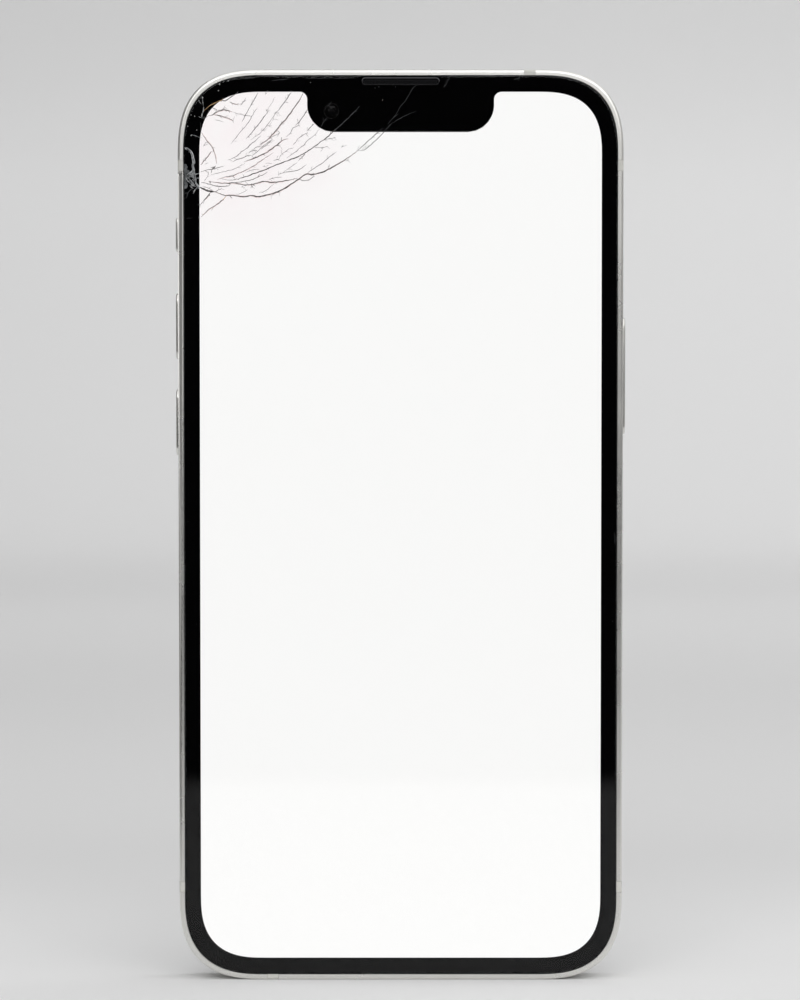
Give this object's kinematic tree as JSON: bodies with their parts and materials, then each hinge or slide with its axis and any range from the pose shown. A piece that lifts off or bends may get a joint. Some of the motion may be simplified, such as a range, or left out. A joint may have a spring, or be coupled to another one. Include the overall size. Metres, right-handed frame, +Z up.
{
  "type": "shattered screen phone",
  "caption": "Smartphone with a flat metal band, lit blank screen, cover glass shattered at one upper corner, pressing side buttons and a sliding SIM tray.",
  "frame": {"origin": "middle of the bounding box at the phone's lower edge, which it stands on", "axes": "+Z up along the phone's height; -Y the way the screen looks; +X to the right as seen from the screen's side"},
  "size_m": [0.0724, 0.01, 0.1467],
  "materials": {
    "band_metal": "satin anodised",
    "button_metal": "satin anodised",
    "ring_metal": "polished anodised",
    "antenna_plastic": "matte moulded",
    "cover_glass": "polished, shattered at one corner",
    "lens_glass": "polished",
    "rear_glass": "polished back-painted glass",
    "lit_panel": "evenly lit white",
    "black_plastic": "matte moulded",
    "foam": "soft adhesive foam",
    "steel": "stamped",
    "tungsten": "sintered heavy metal",
    "copper": "enamelled copper winding",
    "magnet": "nickel plated",
    "pouch": "laminated pouch",
    "circuit": "lacquered circuit board",
    "ribbon": "polyimide film",
    "lamp": "phosphor resin"
  },
  "bodies": {
    "phone": {"housing": "band_metal", "antenna_break_upper_left": "antenna_plastic", "antenna_break_upper_right": "antenna_plastic", "antenna_break_lower_left": "antenna_plastic", "antenna_break_lower_right": "antenna_plastic", "antenna_break_top": "antenna_plastic", "antenna_break_bottom": "antenna_plastic", "cover_glass": "cover_glass", "display_panel": "lit_panel", "display_back_plate": "steel", "display_frame": "black_plastic", "screen_seal": "foam", "display_flex": "ribbon", "earpiece_mesh": "steel", "earpiece_speaker": "black_plastic", "front_camera": "black_plastic", "infrared_camera": "black_plastic", "dot_projector": "black_plastic", "sensor_bracket": "steel", "rear_glass": "rear_glass", "main_camera_body": "black_plastic", "main_camera_ring": "ring_metal", "main_camera_cover": "lens_glass", "wide_camera_body": "black_plastic", "wide_camera_lens": "black_plastic", "wide_camera_ring": "ring_metal", "wide_camera_cover": "lens_glass", "camera_bracket": "steel", "flash_window": "lens_glass", "flash_led": "lamp", "rear_microphone": "steel", "battery": "pouch", "logic_board": "circuit", "processor_shield": "steel", "radio_shield": "steel", "board_screw_lower_left": "steel", "board_screw_upper_left": "steel", "board_screw_upper_right": "steel", "sim_reader": "steel", "charging_coil": "copper", "magnet_ring": "magnet", "power_switch": "black_plastic", "volume_up_switch": "black_plastic", "volume_down_switch": "black_plastic", "silent_switch": "black_plastic", "loudspeaker": "black_plastic", "haptic_case": "steel", "haptic_lid": "steel", "dock_board": "circuit", "charging_port": "steel", "bottom_microphone": "black_plastic", "bottom_screw_left": "steel", "bottom_screw_right": "steel"},
    "power_button": {"power_button": "button_metal"},
    "volume_up_button": {"volume_up_button": "button_metal"},
    "volume_down_button": {"volume_down_button": "button_metal"},
    "silent_slider": {"silent_slider": "button_metal"},
    "sim_tray": {"sim_tray": "band_metal"},
    "haptic_mass": {"haptic_mass": "tungsten"},
    "main_camera_lens": {"main_camera_lens": "black_plastic"}
  },
  "joints": [
    {"name": "power_button_press", "type": "slide", "parent": "phone", "child": "power_button", "axis": [-1, 0, 0], "range_m": [0, 0.00025], "stiffness_N_per_m": 8000},
    {"name": "volume_up_press", "type": "slide", "parent": "phone", "child": "volume_up_button", "axis": [1, 0, 0], "range_m": [0, 0.00025], "stiffness_N_per_m": 8000},
    {"name": "volume_down_press", "type": "slide", "parent": "phone", "child": "volume_down_button", "axis": [1, 0, 0], "range_m": [0, 0.00025], "stiffness_N_per_m": 8000},
    {"name": "silent_slide", "type": "slide", "parent": "phone", "child": "silent_slider", "axis": [0, 1, 0], "range_m": [0, 0.0011]},
    {"name": "sim_tray_slide", "type": "slide", "parent": "phone", "child": "sim_tray", "axis": [-1, 0, 0], "range_m": [0, 0.0145]},
    {"name": "haptic_shake", "type": "slide", "parent": "phone", "child": "haptic_mass", "axis": [1, 0, 0], "range_m": [-0.0006, 0.0006], "stiffness_N_per_m": 1800},
    {"name": "main_camera_focus", "type": "slide", "parent": "phone", "child": "main_camera_lens", "axis": [0, 1, 0], "range_m": [0, 0.00025], "stiffness_N_per_m": 200}
  ]
}
